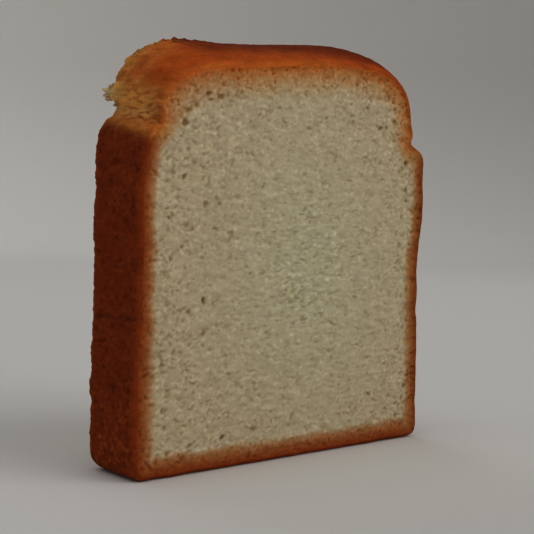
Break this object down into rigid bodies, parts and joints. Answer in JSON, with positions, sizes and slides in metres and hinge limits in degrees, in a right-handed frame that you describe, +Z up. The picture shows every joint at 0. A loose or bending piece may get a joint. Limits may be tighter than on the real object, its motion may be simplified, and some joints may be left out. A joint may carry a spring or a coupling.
{
  "type": "slice of white bread",
  "caption": "Upright thick slice of white tin loaf: flat foot, straight crust walls, torn neck, and a domed crown that climbs from one cut face to the other.",
  "frame": {"origin": "on the surface that the slice stands on, in the middle of its box across X, halfway between the two cut faces", "axes": "+Z up from the foot to the crown, +Y from the front cut face to the back cut face, +X to the right as seen from the front"},
  "size_m": [0.123, 0.0248, 0.1377],
  "materials": {
    "crumb": "soft, fully matt, full of small open pores, pale cream",
    "crust": "baked, from matt and flaky at the torn neck to a faint satin on the crown, orange-brown to dark red-brown"
  },
  "bodies": {
    "root": {"bread_slice": "crumb"}
  },
  "joints": []
}
